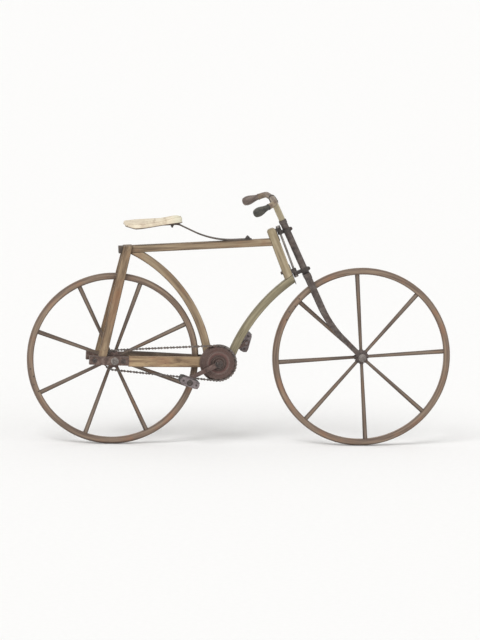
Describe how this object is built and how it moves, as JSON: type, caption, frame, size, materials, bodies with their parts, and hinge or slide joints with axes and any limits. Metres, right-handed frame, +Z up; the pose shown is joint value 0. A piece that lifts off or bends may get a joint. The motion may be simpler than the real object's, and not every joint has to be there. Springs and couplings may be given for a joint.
{
  "type": "wooden safety bicycle",
  "caption": "Old home-made wooden bicycle: bent wooden bars and spoked wooden wheels, chain drive, leaf-sprung saddle, and a fork hung on a gate hinge.",
  "frame": {"origin": "top of the saddle, where the rider sits, above the bicycle's middle plane", "axes": "+X forward, +Y to the rider's left, +Z up; both wheels stand on one level floor"},
  "size_m": [1.7579, 0.4438, 1.0385],
  "materials": {
    "frame_wood": "worn oiled bent wood, tan",
    "head_wood": "worn oiled wood, olive tan",
    "rim_wood": "weathered bent wood, brown grey",
    "spoke_wood": "weathered wood, grey brown",
    "hub_iron": "dark, matt, lightly rusted",
    "fork_iron": "dark grey brown, matt, worn paint",
    "hinge_iron": "dark, matt",
    "frame_iron": "dark purple brown, lightly rusted",
    "axle_steel": "dull grey",
    "drive_iron": "rusted, mauve brown",
    "chain_steel": "dull, oiled, dark",
    "pedal_steel": "dull grey mauve",
    "pedal_rubber": "dark, matt",
    "stem_wood": "light tan, worn",
    "handlebar_wood": "mauve brown, worn",
    "grip_dark": "dark olive, worn paint",
    "grip_worn": "mauve brown, worn paint",
    "saddle_leather": "cream, worn",
    "pan_iron": "dark, matt",
    "spring_steel": "dark, dull"
  },
  "bodies": {
    "frame": {"head_post": "head_wood", "top_bar": "frame_wood", "seat_tube": "frame_wood", "down_tube": "head_wood", "seat_stay_right": "frame_wood", "seat_stay_left": "frame_wood", "chain_stay_right": "frame_wood", "chain_stay_left": "frame_wood", "axle_shoe_right": "frame_iron", "axle_shoe_left": "frame_iron", "hanger_plate_right": "frame_iron", "hanger_plate_left": "frame_iron", "bracket_shell": "frame_iron", "rear_axle": "axle_steel", "rear_axle_nuts": "axle_steel", "head_knuckle_upper": "hinge_iron", "head_knuckle_lower": "hinge_iron", "hinge_pin": "hinge_iron", "saddle_pad": "saddle_leather", "saddle_pan": "pan_iron", "leaf_spring": "spring_steel", "leaf_bolt": "axle_steel", "chain": "chain_steel"},
    "rear_wheel": {"rear_rim": "rim_wood", "rear_spokes": "spoke_wood", "rear_hub": "hub_iron", "rear_sprocket": "drive_iron"},
    "crank_set": {"crank_spindle": "drive_iron", "chainwheel": "drive_iron", "crank_right": "drive_iron", "crank_left": "drive_iron", "pedal_spindle_right": "pedal_steel", "pedal_spindle_left": "pedal_steel"},
    "right_pedal": {"pedal_cage_right": "pedal_steel", "pedal_blocks_right": "pedal_rubber"},
    "left_pedal": {"pedal_cage_left": "pedal_steel", "pedal_blocks_left": "pedal_rubber"},
    "steering": {"fork_post": "fork_iron", "fork_crown": "fork_iron", "fork_blade_right": "fork_iron", "fork_blade_left": "fork_iron", "fork_knuckle_upper": "hinge_iron", "fork_knuckle_lower": "hinge_iron", "stem": "stem_wood", "handlebar": "handlebar_wood", "grip_right": "grip_dark", "grip_left": "grip_worn", "front_axle": "axle_steel", "front_axle_nuts": "axle_steel"},
    "front_wheel": {"front_rim": "rim_wood", "front_spokes": "spoke_wood", "front_hub": "hub_iron"}
  },
  "joints": [
    {"name": "rear_wheel_spin", "type": "hinge", "parent": "frame", "child": "rear_wheel", "pos_m": [-0.12, 0, -0.57049], "axis": [0, 1, 0], "continuous": true},
    {"name": "crank_spin", "type": "hinge", "parent": "frame", "child": "crank_set", "pos_m": [0.3127, 0, -0.57959], "axis": [0, 1, 0], "continuous": true},
    {"name": "right_pedal_spin", "type": "hinge", "parent": "crank_set", "child": "right_pedal", "pos_m": [0.18467, 0, -0.64767], "axis": [0, 1, 0], "continuous": true},
    {"name": "left_pedal_spin", "type": "hinge", "parent": "crank_set", "child": "left_pedal", "pos_m": [0.44073, 0, -0.51152], "axis": [0, 1, 0], "continuous": true},
    {"name": "steering_turn", "type": "hinge", "parent": "frame", "child": "steering", "pos_m": [0.59177, 0, -0.11903], "axis": [-0.373, 0, 0.9278], "range_deg": [-60, 60]},
    {"name": "front_wheel_spin", "type": "hinge", "parent": "steering", "child": "front_wheel", "pos_m": [0.9115, 0, -0.55499], "axis": [0, 1, 0], "continuous": true}
  ],
  "couplings": [
    {"joint": "crank_spin", "follows": "rear_wheel_spin", "ratio": 0.55556}
  ]
}
